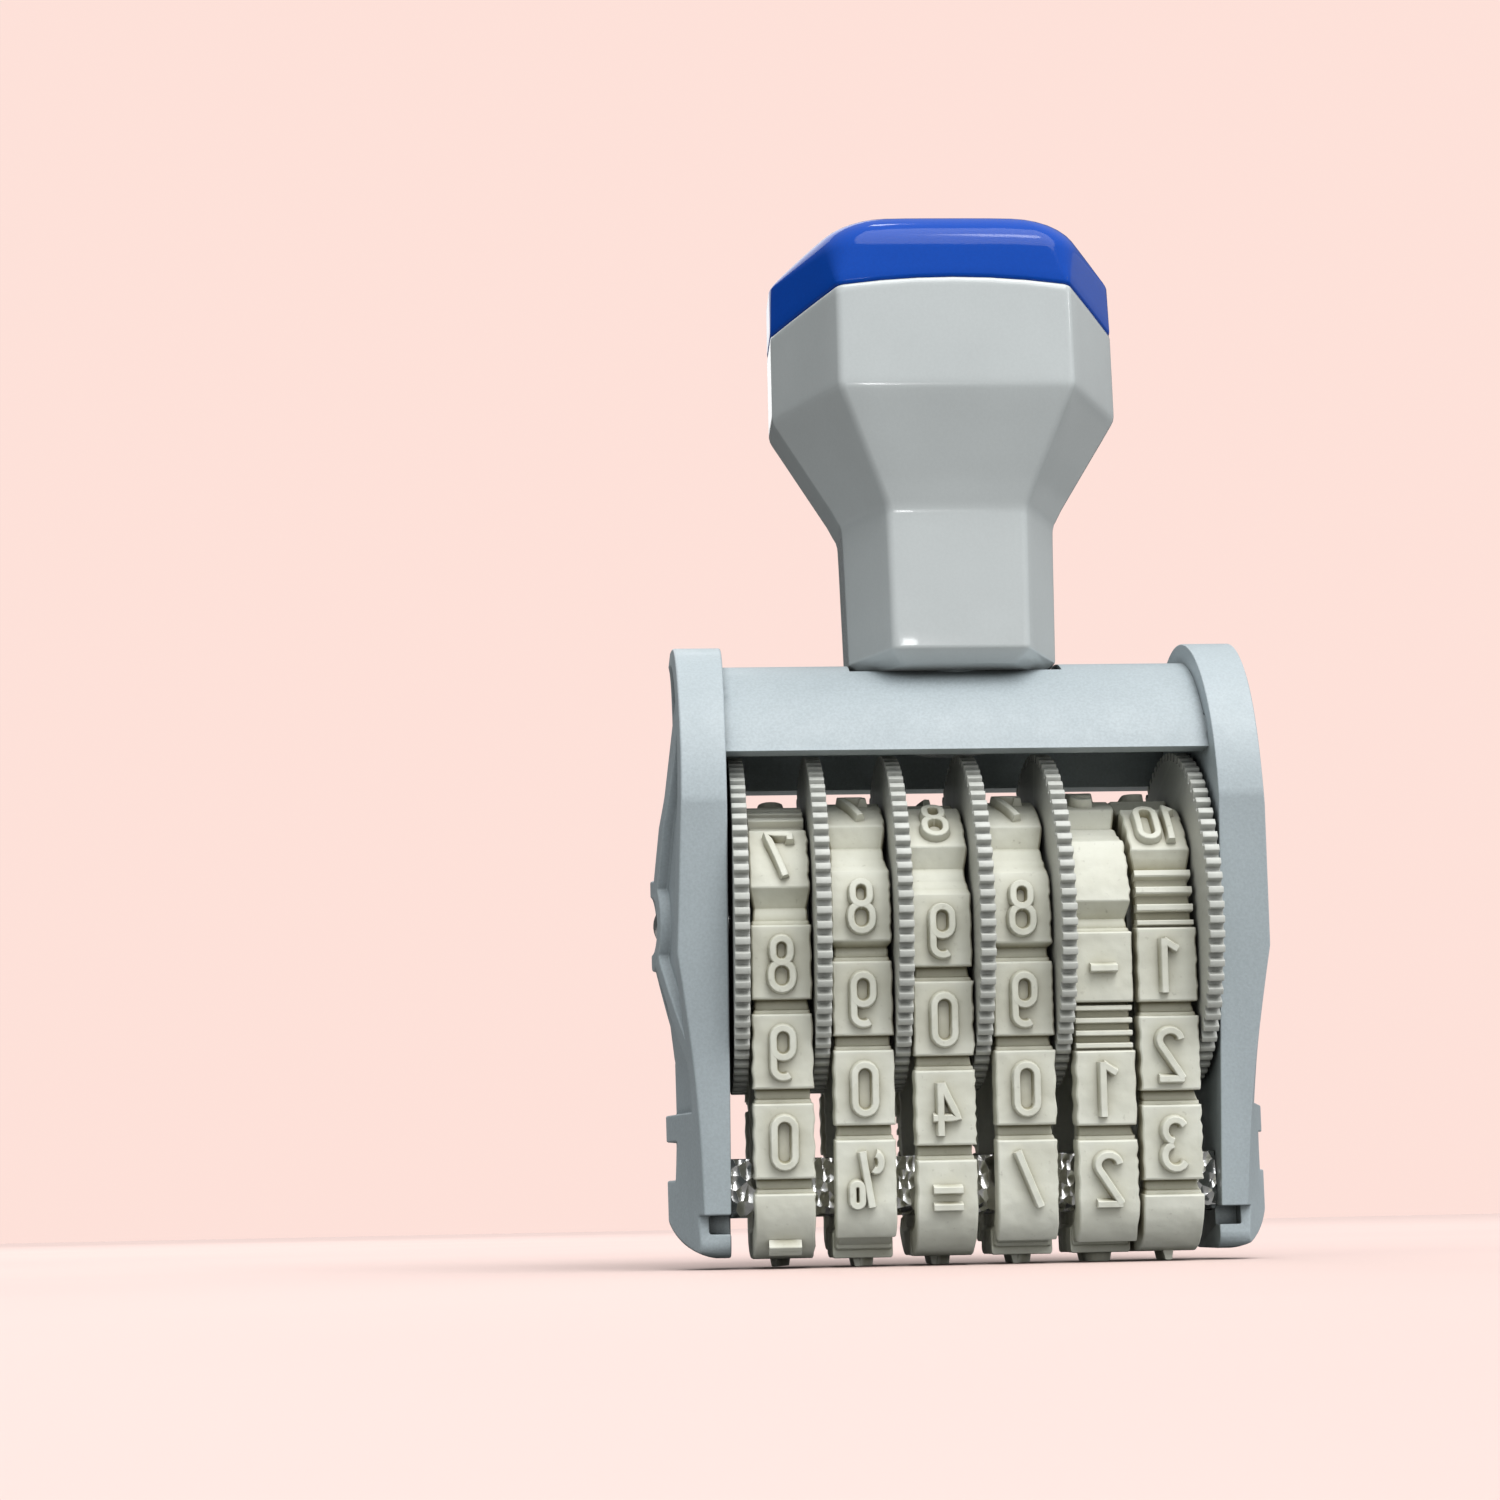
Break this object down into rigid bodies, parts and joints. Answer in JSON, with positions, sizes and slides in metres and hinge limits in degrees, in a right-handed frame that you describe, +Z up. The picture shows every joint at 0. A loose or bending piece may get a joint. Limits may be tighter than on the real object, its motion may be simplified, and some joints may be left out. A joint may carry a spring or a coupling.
{
  "type": "numbering machine",
  "caption": "Self-standing numbering stamp with toothed thumbwheels that carry rubber type bands between two ribbed side plates, under a faceted handle with a domed cap.",
  "frame": {"origin": "on the plane of the type faces, under the middle of the stamp", "axes": "+Z up the handle, -Y towards the front, +X to the right seen from the front"},
  "size_m": [0.057, 0.031, 0.096],
  "materials": {
    "frame_plastic": "satin",
    "wheel_plastic": "satin",
    "type_rubber": "matte",
    "polished_steel": "polished",
    "handle_plastic": "gloss",
    "cap_plastic": "gloss"
  },
  "bodies": {
    "frame": {"left_side_plate": "frame_plastic", "right_side_plate": "frame_plastic", "top_bridge": "frame_plastic", "axle": "polished_steel", "print_bar": "polished_steel", "handle_body": "handle_plastic", "handle_cap": "cap_plastic", "handle_screw": "polished_steel", "type_band_1": "type_rubber", "type_band_2": "type_rubber", "type_band_3": "type_rubber", "type_band_4": "type_rubber", "type_band_5": "type_rubber", "type_band_6": "type_rubber"},
    "wheel_1": {"thumbwheel_1": "wheel_plastic"},
    "wheel_2": {"thumbwheel_2": "wheel_plastic"},
    "wheel_3": {"thumbwheel_3": "wheel_plastic"},
    "wheel_4": {"thumbwheel_4": "wheel_plastic"},
    "wheel_5": {"thumbwheel_5": "wheel_plastic"},
    "wheel_6": {"thumbwheel_6": "wheel_plastic"}
  },
  "joints": [
    {"name": "wheel_1_turn", "type": "hinge", "parent": "frame", "child": "wheel_1", "pos_m": [0, 0, 0.031], "axis": [1, 0, 0], "continuous": true},
    {"name": "wheel_2_turn", "type": "hinge", "parent": "frame", "child": "wheel_2", "pos_m": [0, 0, 0.031], "axis": [1, 0, 0], "continuous": true},
    {"name": "wheel_3_turn", "type": "hinge", "parent": "frame", "child": "wheel_3", "pos_m": [0, 0, 0.031], "axis": [1, 0, 0], "continuous": true},
    {"name": "wheel_4_turn", "type": "hinge", "parent": "frame", "child": "wheel_4", "pos_m": [0, 0, 0.031], "axis": [1, 0, 0], "continuous": true},
    {"name": "wheel_5_turn", "type": "hinge", "parent": "frame", "child": "wheel_5", "pos_m": [0, 0, 0.031], "axis": [1, 0, 0], "continuous": true},
    {"name": "wheel_6_turn", "type": "hinge", "parent": "frame", "child": "wheel_6", "pos_m": [0, 0, 0.031], "axis": [1, 0, 0], "continuous": true}
  ]
}
